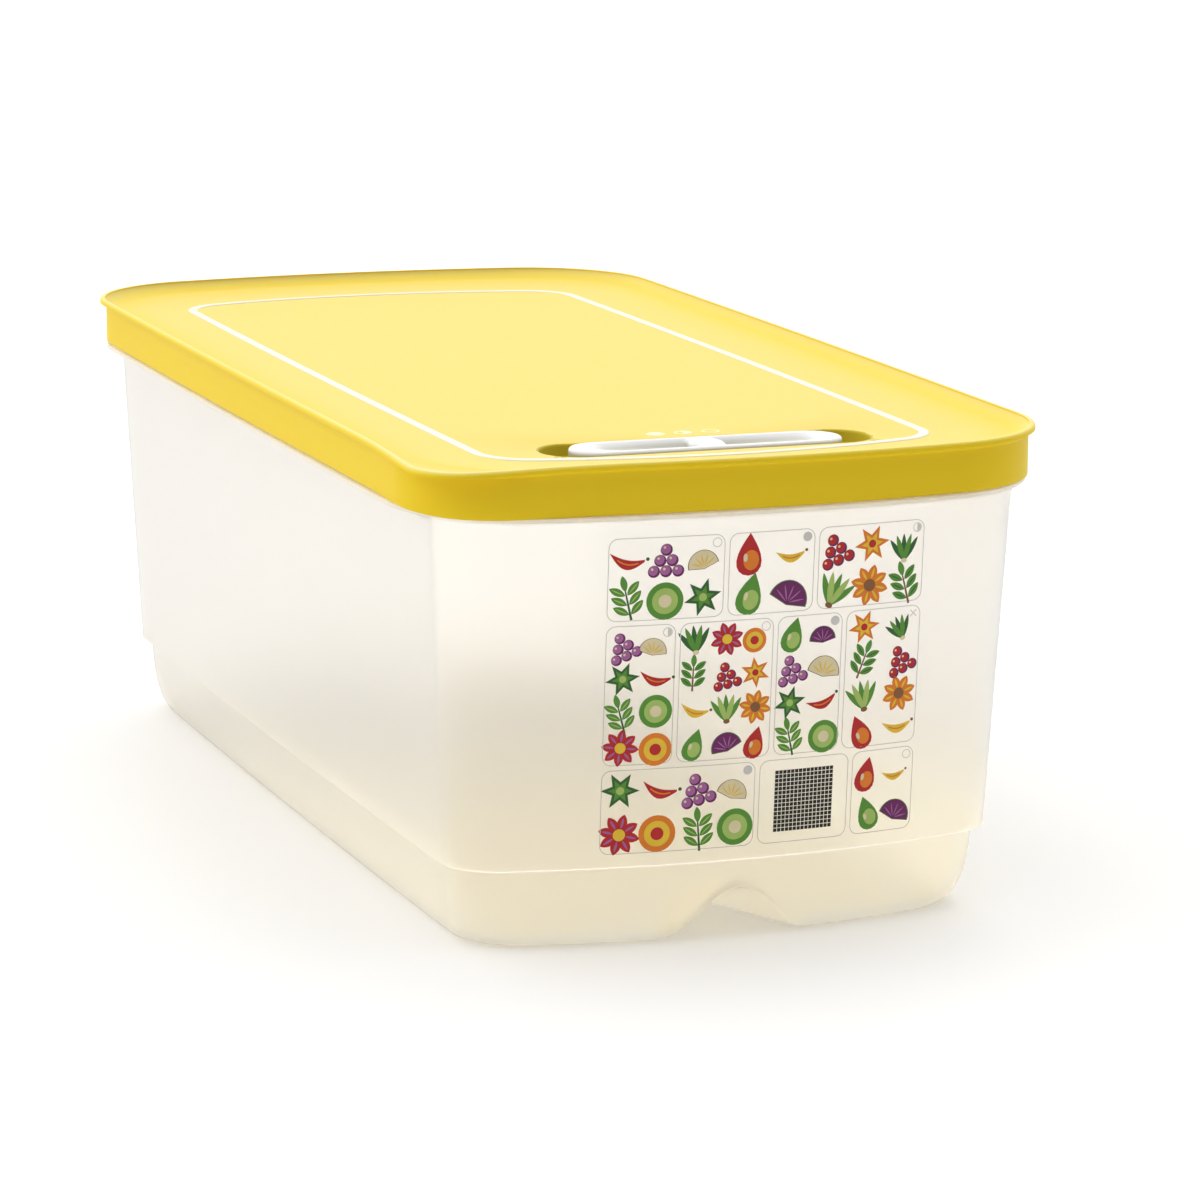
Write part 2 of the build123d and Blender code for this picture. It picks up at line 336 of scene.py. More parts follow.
def mould_tub():
    """Outer skin from the foot up, over the rim, and down the inside to the floor."""
    tub = Moulding()
    outer = base_loops(tub, 0, 0, 0)
    step_side, step_end, step_radius = wall_insets(step_height)
    rounding = [(2.5, 0.35), (2.1, 0.75), (1.3, 0.95), (0.5, 1.05), (0.1, 1.35), (0.0, 1.9)]
    for inward, rise in rounding:
        flat = outline(step_side + inward, step_end + inward, step_radius)
        outer.append(tub.loop(flat, step_height - step_drop + rise))
    for share in wall_shares:
        z = step_height + (wall_top - step_height) * share
        side, end, radius = wall_insets(z)
        outer.append(tub.loop(outline(side, end, radius), z))
    top_side, _, top_radius = wall_insets(wall_top)
    for turn in range(1, neck_turns + 1):
        angle = pi / 2 * turn / neck_turns
        inset = top_side + (rim_inset - top_side) * (1 - cos(angle))
        radius = top_radius + (rim_radius - top_radius) * (1 - cos(angle))
        z = wall_top + (ledge_bottom - wall_top) * sin(angle)
        outer.append(tub.loop(outline(inset, inset, radius), z))
    flange = [(1.7, 0.0), (1.45, 0.2), (1.4, 0.45), (1.4, 0.75), (1.55, 1.05), (1.9, 1.2)]
    for inset, rise in flange:
        radius = flange_radius - inset + flange_inset
        outer.append(tub.loop(outline(inset, inset, radius), ledge_bottom + rise))
    rim = [(rim_inset, 0.0), (rim_inset, 4.0), (rim_inset, 7.9), (rim_inset + 0.4, 8.45)]
    rim += [(rim_inset + 0.9, 8.6), (rim_inset + 1.4, 8.45), (rim_inset + rim_wall, 7.9)]
    rim += [(rim_inset + rim_wall, 3.0), (rim_inset + rim_wall, 0.0)]
    for inset, rise in rim:
        radius = rim_radius - inset + rim_inset
        outer.append(tub.loop(outline(inset, inset, radius), flange_top + rise))
    rim_inner = rim_inset + rim_wall
    for turn in range(1, throat_turns + 1):
        angle = pi / 2 * turn / throat_turns
        inset = rim_inner + (top_side + tub_wall - rim_inner) * sin(angle)
        bend = top_radius - tub_wall - rim_radius + rim_wall
        radius = rim_radius - rim_wall + bend * sin(angle)
        z = flange_top + (wall_top - flange_top) * (1 - cos(angle))
        outer.append(tub.loop(outline(inset, inset, radius), z))
    for share in inner_wall_shares:
        z = step_height + (wall_top - step_height) * share
        side, end, radius = wall_insets(z)
        outer.append(tub.loop(outline(side + tub_wall, end + tub_wall, radius - tub_wall), z))
    for inward, rise in rounding[::-1]:
        inset = inward + tub_wall
        flat = outline(step_side + inset, step_end + inset, step_radius - tub_wall)
        outer.append(tub.loop(flat, step_height - step_drop + rise))
    inner = base_loops(tub, tub_wall, tub_wall, tub_wall)
    tub.bands(outer + inner[::-1])
    under_rim = np.array([tub.points[i][:2] for i in outer[0]])
    tub.fill(outer[0], [], floor_points(under_rim), under_floor, up=False)
    floor_rim = np.array([tub.points[i][:2] for i in inner[0]])
    tub.fill(inner[0], [], floor_points(floor_rim), inner_floor, up=True)
    return tub


def grain_group():
    """Fine moulded texture: a height for bump and a slow mask for colour, from Object coordinates."""
    group = bpy.data.node_groups.new("moulded_grain", "ShaderNodeTree")
    face = group.interface
    grain_scale = face.new_socket("Grain Scale", in_out="INPUT", socket_type="NodeSocketFloat")
    grain_scale.default_value = 2500
    cloud_scale = face.new_socket("Cloud Scale", in_out="INPUT", socket_type="NodeSocketFloat")
    cloud_scale.default_value = 18
    face.new_socket("Height", in_out="OUTPUT", socket_type="NodeSocketFloat")
    face.new_socket("Cloud", in_out="OUTPUT", socket_type="NodeSocketFloat")
    nodes, links = group.nodes, group.links
    source = nodes.new("NodeGroupInput")
    result = nodes.new("NodeGroupOutput")
    place = nodes.new("ShaderNodeTexCoord")
    fine = nodes.new("ShaderNodeTexNoise")
    fine.inputs["Detail"].default_value = 3
    cloud = nodes.new("ShaderNodeTexNoise")
    cloud.inputs["Detail"].default_value = 2
    links.new(place.outputs["Object"], fine.inputs["Vector"])
    links.new(place.outputs["Object"], cloud.inputs["Vector"])
    links.new(source.outputs["Grain Scale"], fine.inputs["Scale"])
    links.new(source.outputs["Cloud Scale"], cloud.inputs["Scale"])
    links.new(fine.outputs["Fac"], result.inputs["Height"])
    links.new(cloud.outputs["Fac"], result.inputs["Cloud"])
    return group


moulded_grain = grain_group()


def height_group():
    """How far up a place is between two heights, 0 to 1, with a lean along Y."""
    group = bpy.data.node_groups.new("height_share", "ShaderNodeTree")
    for label in ("Low", "High", "Lean"):
        group.interface.new_socket(label, in_out="INPUT", socket_type="NodeSocketFloat")
    group.interface.new_socket("Share", in_out="OUTPUT", socket_type="NodeSocketFloat")
    nodes, links = group.nodes, group.links
    source = nodes.new("NodeGroupInput")
    result = nodes.new("NodeGroupOutput")
    place = nodes.new("ShaderNodeTexCoord")
    split = nodes.new("ShaderNodeSeparateXYZ")
    leaned = nodes.new("ShaderNodeMath")
    leaned.operation = "MULTIPLY_ADD"
    share = nodes.new("ShaderNodeMapRange")
    share.interpolation_type = "SMOOTHSTEP"
    links.new(place.outputs["Object"], split.inputs["Vector"])
    links.new(split.outputs["Y"], leaned.inputs[0])
    links.new(source.outputs["Lean"], leaned.inputs[1])
    links.new(split.outputs["Z"], leaned.inputs[2])
    links.new(leaned.outputs["Value"], share.inputs["Value"])
    links.new(source.outputs["Low"], share.inputs["From Min"])
    links.new(source.outputs["High"], share.inputs["From Max"])
    links.new(share.outputs["Result"], result.inputs["Share"])
    return group


height_share = height_group()


def moulded_plastic(
    name, pale, deep, roughness, bump, grain=2500, cloud=18,
    rise=None, lean=0.0, glow=None, low_roughness=None,
):
    """Plastic whose colour drifts slowly between two close shades, with a fine grain.

    With rise (low height, high height, low colour) it also changes up the piece; glow is
    a faint light of its own and low_roughness a haze that both fade out with it.
    """
    material = bpy.data.materials.new(name)
    material.use_nodes = True
    nodes, links = material.node_tree.nodes, material.node_tree.links
    shader = nodes["Principled BSDF"]
    shader.inputs["Roughness"].default_value = roughness
    effect = nodes.new("ShaderNodeGroup")
    effect.node_tree = moulded_grain
    effect.inputs["Grain Scale"].default_value = grain
    effect.inputs["Cloud Scale"].default_value = cloud
    tint = nodes.new("ShaderNodeMix")
    tint.data_type = "RGBA"
    tint.inputs["A"].default_value = (*pale, 1)
    tint.inputs["B"].default_value = (*deep, 1)
    raised = nodes.new("ShaderNodeBump")
    raised.inputs["Strength"].default_value = bump
    raised.inputs["Distance"].default_value = 0.0001
    links.new(effect.outputs["Cloud"], tint.inputs["Factor"])
    coloured = tint
    if rise:
        share = nodes.new("ShaderNodeGroup")
        share.node_tree = height_share
        share.inputs["Low"].default_value = rise[0] * mm
        share.inputs["High"].default_value = rise[1] * mm
        share.inputs["Lean"].default_value = lean
        coloured = nodes.new("ShaderNodeMix")
        coloured.data_type = "RGBA"
        coloured.inputs["A"].default_value = (*rise[2], 1)
        links.new(share.outputs["Share"], coloured.inputs["Factor"])
        links.new(tint.outputs["Result"], coloured.inputs["B"])
    if glow:
        faded = nodes.new("ShaderNodeMix")
        faded.data_type = "RGBA"
        faded.inputs["A"].default_value = (*glow, 1)
        faded.inputs["B"].default_value = (0, 0, 0, 1)
        links.new(share.outputs["Share"], faded.inputs["Factor"])
        links.new(faded.outputs["Result"], shader.inputs["Emission Color"])
    if low_roughness:
        haze = nodes.new("ShaderNodeMapRange")
        haze.inputs["To Min"].default_value = low_roughness
        haze.inputs["To Max"].default_value = roughness
        links.new(share.outputs["Share"], haze.inputs["Value"])
        links.new(haze.outputs["Result"], shader.inputs["Roughness"])
    links.new(coloured.outputs["Result"], shader.inputs["Base Color"])
    links.new(effect.outputs["Height"], raised.inputs["Height"])
    links.new(raised.outputs["Normal"], shader.inputs["Normal"])
    return material, shader


# Toward the bottom the wall turns a deeper cream and glows faintly: painted shade and painted light for
# the warm light gathered in the base under the yellow lid.
frosted, frosted_shader = moulded_plastic(
    "frosted_polypropylene", (0.993, 0.974, 0.94), (0.987, 0.967, 0.932), 0.29, 0.03,
    rise=(-12, 45, (0.962, 0.93, 0.84)), lean=0.12, glow=(1.0, 0.94, 0.78), low_roughness=0.5,
)
frosted_shader.inputs["Transmission Weight"].default_value = 0.93
frosted_shader.inputs["IOR"].default_value = 1.2
frosted_shader.inputs["Emission Strength"].default_value = 0.06
# The rim and flange are a warmer cream than the wall and glow faintly: painted light that lifts them
# out of the shade under the lid.
ledge, ledge_shader = moulded_plastic(
    "frosted_polypropylene_rim_glow", (0.95, 0.905, 0.80), (0.93, 0.885, 0.78), 0.4, 0.05
)
ledge_shader.inputs["Transmission Weight"].default_value = 0.55
ledge_shader.inputs["IOR"].default_value = 1.35
ledge_shader.inputs["Emission Color"].default_value = (1.0, 0.88, 0.66, 1)
ledge_shader.inputs["Emission Strength"].default_value = 0.08
# The thin edge of the step is a painted highlight: a paler band that glows on its own.
step_highlight, step_highlight_shader = moulded_plastic(
    "frosted_polypropylene_step_highlight", (0.99, 0.97, 0.92), (0.98, 0.96, 0.91), 0.4, 0.05
)
step_highlight_shader.inputs["Transmission Weight"].default_value = 0.6
step_highlight_shader.inputs["IOR"].default_value = 1.27
step_highlight_shader.inputs["Emission Color"].default_value = (1.0, 0.96, 0.86, 1)
step_highlight_shader.inputs["Emission Strength"].default_value = 0.3

tub = mould_tub().finish("frosted_tub", frosted)
tub.data.materials.append(ledge)
tub.data.materials.append(step_highlight)

# 1 is the rim with its flange, with a painted glow; 2 the thin edge of the step, a painted highlight
for face in tub.data.polygons:
    z = face.center.z / mm
    if z > ledge_bottom - 0.6:
        face.material_index = 1
    elif step_height < z < step_height + 0.4:
        face.material_index = 2
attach(tub, "tub")
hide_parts("container_tub")


# The printed chart: coloured inks on a thin film, heat-pressed onto the front wall.
# A generic design: plain leaves, blooms, drops, rings and dots in rounded grey frames.
film_low, film_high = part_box("chart_film")
chart_left = film_low.x / mm + 1.2
chart_right = film_high.x / mm - 1.2
chart_bottom = film_low.z / mm + 2.4
chart_top = film_high.z / mm - 1.0
ink_base = 0.03
ink_layer = 0.045

inks = {
    "deep_green": (0.035, 0.13, 0.03),
    "leaf_green": (0.10, 0.30, 0.035),
    "pale_green": (0.40, 0.56, 0.14),
    "yellow": (0.86, 0.56, 0.04),
    "orange": (0.80, 0.22, 0.02),
    "red": (0.52, 0.02, 0.02),
    "plum": (0.16, 0.02, 0.12),
    "lilac": (0.40, 0.13, 0.34),
    "cream": (0.78, 0.68, 0.42),
    "bark": (0.25, 0.11, 0.04),
    "line_grey": (0.66, 0.65, 0.61),
    "black": (0.02, 0.02, 0.022),
}


def wall_y(x, z):
    """Where the outer face of the front wall lies at a place on it."""
    side, end, _ = wall_insets(z)
    half_x = lid_width / 2 - side
    half_y = lid_length / 2 - end
    end_arc = (half_x ** 2 + end_bow ** 2) / (2 * end_bow)
    return -(half_y - end_arc + np.sqrt(end_arc ** 2 - x ** 2))


class Print:
    """Thin closed patches of ink, gathered by colour, that lie on the front wall."""

    def __init__(self):
        self.sheets = {name: Moulding() for name in inks}

    def patch(self, ink, shape, layer=0):
        """Closed convex or star-shaped patch given by its outline, x and z in millimetres."""
        sheet = self.sheets[ink]
        shape = np.asarray(shape, float)
        spin = np.sum(shape[:, 0] * np.roll(shape[:, 1], -1) - np.roll(shape[:, 0], -1) * shape[:, 1])
        if spin < 0:
            shape = shape[::-1]
        middle = shape.mean(0)
        count = len(shape)
        rings = []
        for lift in (ink_base, ink_base + ink_layer * (layer + 1)):
            start = len(sheet.points)
            rows = np.vstack([shape, middle])
            y = wall_y(rows[:, 0], rows[:, 1]) - lift
            sheet.points.extend(zip(rows[:, 0], y, rows[:, 1]))
            rings.append(start)
        back, front = rings
        for i in range(count):
            j = (i + 1) % count
            sheet.faces.append((front + i, front + j, front + count))
            sheet.faces.append((back + j, back + i, back + count))
            sheet.faces.append((back + i, back + j, front + j, front + i))

    def band(self, ink, outer, inner, layer=0):
        """Closed band between two outlines with as many points each."""
        sheet = self.sheets[ink]
        rings = []
        for lift in (ink_base, ink_base + ink_layer * (layer + 1)):
            for shape in (outer, inner):
                shape = np.asarray(shape, float)
                start = len(sheet.points)
                y = wall_y(shape[:, 0], shape[:, 1]) - lift
                sheet.points.extend(zip(shape[:, 0], y, shape[:, 1]))
                rings.append(start)
        back_out, back_in, front_out, front_in = rings
        count = len(outer)
        for i in range(count):
            j = (i + 1) % count
            sheet.faces.append((front_out + i, front_out + j, front_in + j, front_in + i))
            sheet.faces.append((back_out + j, back_out + i, back_in + i, back_in + j))
            sheet.faces.append((back_out + i, back_out + j, front_out + j, front_out + i))
            sheet.faces.append((back_in + j, back_in + i, front_in + i, front_in + j))


def placed(shape, x, z, size=1.0, turn=0.0):
    """A unit outline scaled, turned by degrees and moved to its place on the wall."""
    angle = radians(turn)
    shape = np.asarray(shape, float) * size
    turned = np.stack([
        shape[:, 0] * cos(angle) - shape[:, 1] * sin(angle),
        shape[:, 0] * sin(angle) + shape[:, 1] * cos(angle),
    ], 1)
    return turned + (x, z)


def disc(radius=0.5, count=20, squash=1.0):
    """Round or oval outline."""
    angles = np.linspace(0, 2 * pi, count, endpoint=False)
    return np.stack([radius * np.cos(angles), radius * squash * np.sin(angles)], 1)


def leaf(width=0.4, count=12):
    """Pointed leaf from (0, -0.5) to (0, 0.5)."""
    along = np.linspace(0, 1, count)
    half = width / 2 * np.sin(pi * along) ** 0.8
    right = np.stack([half, along - 0.5], 1)
    left = np.stack([-half, along - 0.5], 1)[::-1]
    return np.vstack([right, left[1:-1]])


def drop(count=20):
    """Water drop, point upwards."""
    angles = np.linspace(0, 2 * pi, count, endpoint=False)
    x = 0.32 * np.sin(angles) * np.sin(angles / 2) ** 1.2
    return np.stack([x * 1.3, 0.5 * np.cos(angles)], 1)


def draw_sprig(chart, x, z, size, turn, tones):
    """Stem with paired leaves."""
    stem, blade, vein = tones
    stalk = [(-0.03, -0.5), (0.03, -0.5), (0.015, 0.42), (-0.015, 0.42)]
    chart.patch(stem, placed(stalk, x, z, size, turn))
    for step in range(3):
        for side in (-1, 1):
            foot = np.array([(side * 0.2, -0.22 + 0.24 * step)])
            spot = placed(foot, x, z, size, turn)[0]
            tilt = turn - side * 52
            chart.patch(blade, placed(leaf(0.42), *spot, size * 0.44, tilt), 1)
            chart.patch(vein, placed(leaf(0.09), *spot, size * 0.34, tilt), 2)
    tip = placed([(0, 0.42)], x, z, size, turn)[0]
    chart.patch(blade, placed(leaf(0.42), *tip, size * 0.4, turn), 1)


def draw_bloom(chart, x, z, size, turn, tones):
    """Open flower seen from above."""
    petal, inner, heart = tones
    petals = 8
    for step in range(petals):
        tilt = turn + 360 / petals * step
        spot = placed([(0, 0.3)], x, z, size, tilt)[0]
        chart.patch(petal, placed(leaf(0.56), *spot, size * 0.44, tilt), step % 2)
        chart.patch(inner, placed(leaf(0.22), *spot, size * 0.28, tilt), 2)
    chart.patch(heart, placed(disc(0.15), x, z, size), 3)


def draw_drop(chart, x, z, size, turn, tones):
    """Drop with a lighter crescent inside."""
    body, light, shine = tones
    chart.patch(body, placed(drop(), x, z, size, turn))
    spot = placed([(0.05, -0.14)], x, z, size, turn)[0]
    chart.patch(light, placed(disc(0.19, 16, 1.25), *spot, size, turn), 1)
    spot = placed([(-0.09, -0.08)], x, z, size, turn)[0]
    chart.patch(shine, placed(disc(0.05, 10, 2.0), *spot, size, turn), 2)


def draw_rings(chart, x, z, size, turn, tones):
    """Target of three rings."""
    for layer, (tone, radius) in enumerate(zip(tones, (0.46, 0.32, 0.16))):
        chart.patch(tone, placed(disc(radius, 28), x, z, size), layer)


def draw_heap(chart, x, z, size, turn, tones):
    """Pyramid of round beads."""
    bead, shade, shine = tones
    radius = 0.15
    for row, count in enumerate((3, 2, 1)):
        for step in range(count):
            place = (radius * 2 * (step - (count - 1) / 2), -0.3 + row * radius * 1.75)
            spot = placed([place], x, z, size, turn)[0]
            chart.patch(shade, placed(disc(radius), *spot, size), row % 2)
            spot = placed([(place[0] - 0.02, place[1] + 0.025)], x, z, size, turn)[0]
            chart.patch(bead, placed(disc(radius * 0.8), *spot, size), 2)
            spot = placed([(place[0] - 0.05, place[1] + 0.06)], x, z, size, turn)[0]
            chart.patch(shine, placed(disc(radius * 0.22, 8), *spot, size), 3)


def draw_star(chart, x, z, size, turn, tones):
    """Six-pointed star with a lighter heart."""
    outer, inner, heart = tones
    corners = 12
    angles = np.linspace(0, 2 * pi, corners, endpoint=False)
    reach = np.where(np.arange(corners) % 2 == 0, 0.48, 0.22)
    star = np.stack([reach * np.cos(angles), reach * np.sin(angles)], 1)
    chart.patch(outer, placed(star, x, z, size, turn))
    chart.patch(inner, placed(star * 0.62, x, z, size, turn), 1)
    chart.patch(heart, placed(disc(0.1, 12), x, z, size), 2)


def draw_fan(chart, x, z, size, turn, tones):
    """Fan of long blades from one foot."""
    dark, light, foot = tones
    low = placed([(0, -0.42)], x, z, size, turn)[0]
    for step in range(5):
        tilt = turn + (step - 2) * 17
        spot = placed([(0, 0.42)], *low, size, tilt)[0]
        tone = dark if step % 2 else light
        chart.patch(tone, placed(leaf(0.2), *spot, size * 0.86, tilt), step % 2)
    spot = placed([(0, -0.4)], x, z, size, turn)[0]
    chart.patch(foot, placed(disc(0.1, 14, 0.7), *spot, size, turn), 2)


def draw_shell(chart, x, z, size, turn, tones):
    """Half round shell with ribs."""
    body, rib, rim = tones
    angles = np.linspace(0, pi, 16)
    arch = np.stack([0.46 * np.cos(angles), 0.46 * np.sin(angles) - 0.2], 1)
    half = np.vstack([arch, [(0, -0.3)]])
    chart.patch(rim, placed(half * 1.06, x, z, size, turn))
    chart.patch(body, placed(half, x, z, size, turn), 1)
    foot = placed([(0, -0.26)], x, z, size, turn)[0]
    for step in range(5):
        tilt = turn + (step - 2) * 30
        spot = placed([(0, 0.24)], *foot, size, tilt)[0]
        chart.patch(rib, placed(leaf(0.1), *spot, size * 0.38, tilt), 2)


def draw_moon(chart, x, z, size, turn, tones):
    """Long curved crescent with a stripe."""
    body, stripe, tip = tones
    parts = 13
    along = np.linspace(-1, 1, parts + 1)
    outer = np.stack([0.48 * along, -0.34 * np.cos(pi / 2 * along) + 0.12], 1)
    inner = np.stack([0.48 * along, -0.10 * np.cos(pi / 2 * along) + 0.12], 1)
    for i in range(parts):
        quad = [outer[i], outer[i + 1], inner[i + 1], inner[i]]
        quad = quad[:3] if i == parts - 1 else quad
        quad = quad[1:] if i == 0 else quad
        chart.patch(body, placed(quad, x, z, size, turn))
    middle = (outer * 0.45 + inner * 0.55)[3:11]
    half = np.array([0, 0.018])
    for i in range(len(middle) - 1):
        quad = [middle[i] - half, middle[i + 1] - half, middle[i + 1] + half, middle[i] + half]
        chart.patch(stripe, placed(quad, x, z, size, turn), 1)
    spot = placed([(0.47, 0.12)], x, z, size, turn)[0]
    chart.patch(tip, placed(disc(0.045, 10), *spot, size), 1)


def rounded_frame(left, bottom, right, top, corner, steps=6):
    """Outline of a rounded rectangle."""
    centres = [(right - corner, top - corner, 0), (left + corner, top - corner, 90)]
    centres += [(left + corner, bottom + corner, 180), (right - corner, bottom + corner, 270)]
    shape = []
    for x, z, start in centres:
        for step in range(steps + 1):
            angle = radians(start + 90 * step / steps)
            shape.append((x + corner * cos(angle), z + corner * sin(angle)))
    return dense(shape)


def dense(shape, gap=3.0):
    """The same outline with points added on its long runs, so that it follows the wall."""
    result = []
    for (ax, az), (bx, bz) in zip(shape, shape[1:] + shape[:1]):
        parts = max(1, int(hypot(bx - ax, bz - az) / gap))
        for part in range(parts):
            share = part / parts
            result.append((ax + (bx - ax) * share, az + (bz - az) * share))
    return result


def lattice_tile(columns, pitch, dot):
    """Square of small square dots, from a node tree that puts one at each grid point."""
    tree = bpy.data.node_groups.new("dot_lattice", "GeometryNodeTree")
    face = tree.interface
    face.new_socket("Geometry", in_out="INPUT", socket_type="NodeSocketGeometry")
    sockets = {}
    for label, kind, value in (
        ("Columns", "NodeSocketInt", columns),
        ("Pitch", "NodeSocketFloat", pitch),
        ("Dot", "NodeSocketFloat", dot),
    ):
        socket = face.new_socket(label, in_out="INPUT", socket_type=kind)
        socket.default_value = value
        sockets[label] = socket.identifier
    face.new_socket("Geometry", in_out="OUTPUT", socket_type="NodeSocketGeometry")
    nodes, links = tree.nodes, tree.links
    source = nodes.new("NodeGroupInput")
    result = nodes.new("NodeGroupOutput")
    less = nodes.new("ShaderNodeMath")
    less.operation = "SUBTRACT"
    less.inputs[1].default_value = 1
    span = nodes.new("ShaderNodeMath")
    span.operation = "MULTIPLY"
    grid = nodes.new("GeometryNodeMeshGrid")
    dots = nodes.new("GeometryNodeInstanceOnPoints")
    square = nodes.new("GeometryNodeMeshGrid")
    square.inputs["Vertices X"].default_value = 2
    square.inputs["Vertices Y"].default_value = 2
    real = nodes.new("GeometryNodeRealizeInstances")
    paint = nodes.new("GeometryNodeSetMaterial")
    paint.inputs["Material"].default_value = ink_materials["black"]
    links.new(source.outputs["Columns"], less.inputs[0])
    links.new(less.outputs["Value"], span.inputs[0])
    links.new(source.outputs["Pitch"], span.inputs[1])
    links.new(source.outputs["Columns"], grid.inputs["Vertices X"])
    links.new(source.outputs["Columns"], grid.inputs["Vertices Y"])
    links.new(span.outputs["Value"], grid.inputs["Size X"])
    links.new(span.outputs["Value"], grid.inputs["Size Y"])
    links.new(source.outputs["Dot"], square.inputs["Size X"])
    links.new(source.outputs["Dot"], square.inputs["Size Y"])
    links.new(grid.outputs["Mesh"], dots.inputs["Points"])
    links.new(square.outputs["Mesh"], dots.inputs["Instance"])
    links.new(dots.outputs["Instances"], real.inputs["Geometry"])
    links.new(real.outputs["Geometry"], paint.inputs["Geometry"])
    links.new(paint.outputs["Geometry"], result.inputs["Geometry"])
    carrier = bpy.data.objects.new("lattice_carrier", bpy.data.meshes.new("lattice_carrier"))
    bpy.context.scene.collection.objects.link(carrier)
    modifier = carrier.modifiers.new("lattice", "NODES")
    modifier.node_group = tree
    for label, value in (("Columns", columns), ("Pitch", pitch), ("Dot", dot)):
        modifier[sockets[label]] = value
    ready = carrier.evaluated_get(bpy.context.evaluated_depsgraph_get())
    flat = bpy.data.meshes.new_from_object(ready)
    squares = [[flat.vertices[i].co.xy for i in face.vertices] for face in flat.polygons]
    bpy.data.objects.remove(carrier)
    return squares


def ink_material(name, colour):
    """Satin print ink with a faint mottle."""
    darker = tuple(c * 0.82 for c in colour)
    material, shader = moulded_plastic("ink_" + name, colour, darker, 0.42, 0.05, grain=4000, cloud=260)
    shader.inputs["Specular IOR Level"].default_value = 0.25
    return material


ink_materials = {name: ink_material(name, colour) for name, colour in inks.items()}

green_tones = ("deep_green", "leaf_green", "pale_green")
motif_cycle = [
    (draw_sprig, green_tones),
    (draw_bloom, ("orange", "yellow", "bark")),
    (draw_heap, ("lilac", "plum", "cream")),
    (draw_fan, ("leaf_green", "deep_green", "cream")),
    (draw_drop, ("red", "orange", "cream")),
    (draw_rings, ("leaf_green", "pale_green", "cream")),
    (draw_sprig, ("bark", "leaf_green", "deep_green")),
    (draw_shell, ("cream", "yellow", "bark")),
    (draw_bloom, ("red", "lilac", "yellow")),
    (draw_moon, ("yellow", "orange", "bark")),
    (draw_star, ("deep_green", "leaf_green", "pale_green")),
    (draw_heap, ("red", "plum", "cream")),
    (draw_drop, ("leaf_green", "pale_green", "cream")),
    (draw_rings, ("orange", "yellow", "red")),
    (draw_fan, ("pale_green", "leaf_green", "bark")),
    (draw_moon, ("red", "orange", "deep_green")),
    (draw_star, ("orange", "yellow", "red")),
    (draw_shell, ("plum", "lilac", "leaf_green")),
]
frame_gap = 1.2
frame_line = 0.22
frame_corner = 2.6
mark_size = 2.6
motif_size = 12.0
motif_wander = 0.5
motif_tilt = 24.0
motif_stride = 5
tile_columns = 15
tile_share = 0.74
tile_dot_share = 0.86

# Each row of frames: its share of the height, then each frame's share of the width,
# columns, rows and mark
chart_rows = [
    (0.27, [(0.36, 3, 2, "ring"), (0.28, 2, 2, "dot"), (0.36, 3, 2, "half")]),
    (
        0.45,
        [(0.22, 2, 4, "half"), (0.30, 3, 4, "ring"), (0.22, 2, 4, "dot"), (0.26, 2, 4, "cross")],
    ),
    (0.28, [(0.48, 4, 2, "dot"), (0.30, 0, 0, "tile"), (0.22, 2, 2, "ring")]),
]


def draw_mark(chart, kind, x, z):
    """Small grey sign in a frame's upper right corner."""
    ring = placed(disc(0.5, 24), x, z, mark_size)
    if kind == "cross":
        for turn in (45, -45):
            bar = [(-0.5, -0.05), (0.5, -0.05), (0.5, 0.05), (-0.5, 0.05)]
            chart.patch("line_grey", placed(bar, x, z, mark_size, turn))
        return
    if kind == "dot":
        chart.patch("line_grey", ring)
        return
    chart.band("line_grey", ring, placed(disc(0.42, 24), x, z, mark_size))
    if kind == "half":
        angles = np.linspace(-pi / 2, pi / 2, 12)
        half = np.stack([0.4 * np.cos(angles), 0.4 * np.sin(angles)], 1)
        chart.patch("line_grey", placed(half, x, z, mark_size))


def draw_chart():
    """Frames in three rows, each filled with its own grid of motifs."""
    chart = Print()
    wander = np.random.default_rng(7)
    height = chart_top - chart_bottom
    width = chart_right - chart_left
    top = chart_top
    turn = 0
    for share, frames in chart_rows:
        bottom = top - height * share
        left = chart_left
        for portion, columns, rows, mark in frames:
            right = left + width * portion
            gap = frame_gap / 2
            box = (left + gap, bottom + gap, right - gap, top - gap)
            thin = frame_line
            inner = (box[0] + thin, box[1] + thin, box[2] - thin, box[3] - thin)
            chart.band(
                "line_grey",
                rounded_frame(*box, frame_corner),
                rounded_frame(*inner, frame_corner - frame_line),
            )
            if mark == "tile":
                pitch = min(box[2] - box[0], box[3] - box[1]) * tile_share / tile_columns
                middle = ((box[0] + box[2]) / 2, (box[1] + box[3]) / 2)
                for square in lattice_tile(tile_columns, pitch, pitch * tile_dot_share):
                    chart.patch("black", [(middle[0] + p.x, middle[1] + p.y) for p in square])
            else:
                draw_mark(chart, mark, box[2] - mark_size * 0.85, box[3] - mark_size * 0.85)
            for row in range(rows):
                for column in range(columns):
                    cell_x = (box[2] - box[0]) / columns
                    cell_z = (box[3] - box[1]) / rows
                    x = box[0] + cell_x * (column + 0.5) + wander.uniform(-motif_wander, motif_wander)
                    z = box[1] + cell_z * (row + 0.47) + wander.uniform(-motif_wander, motif_wander)
                    crowded = row == rows - 1 and column == columns - 1
                    size = min(cell_x, cell_z, motif_size) * (0.84 if crowded else 1.04)
                    draw, tones = motif_cycle[turn % len(motif_cycle)]
                    shift = 0.12 * size if crowded else 0
                    tilt = wander.uniform(-motif_tilt, motif_tilt)
                    draw(chart, x - shift, z - shift, size, tilt, tones)
                    turn += motif_stride
            left = right
        top = bottom
    return chart


chart_print = draw_chart()
for ink, sheet in chart_print.sheets.items():
    piece = sheet.finish("chart_" + ink, ink_materials[ink])
    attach(piece, "tub")
    if ink == "line_grey":
        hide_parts("chart_film")


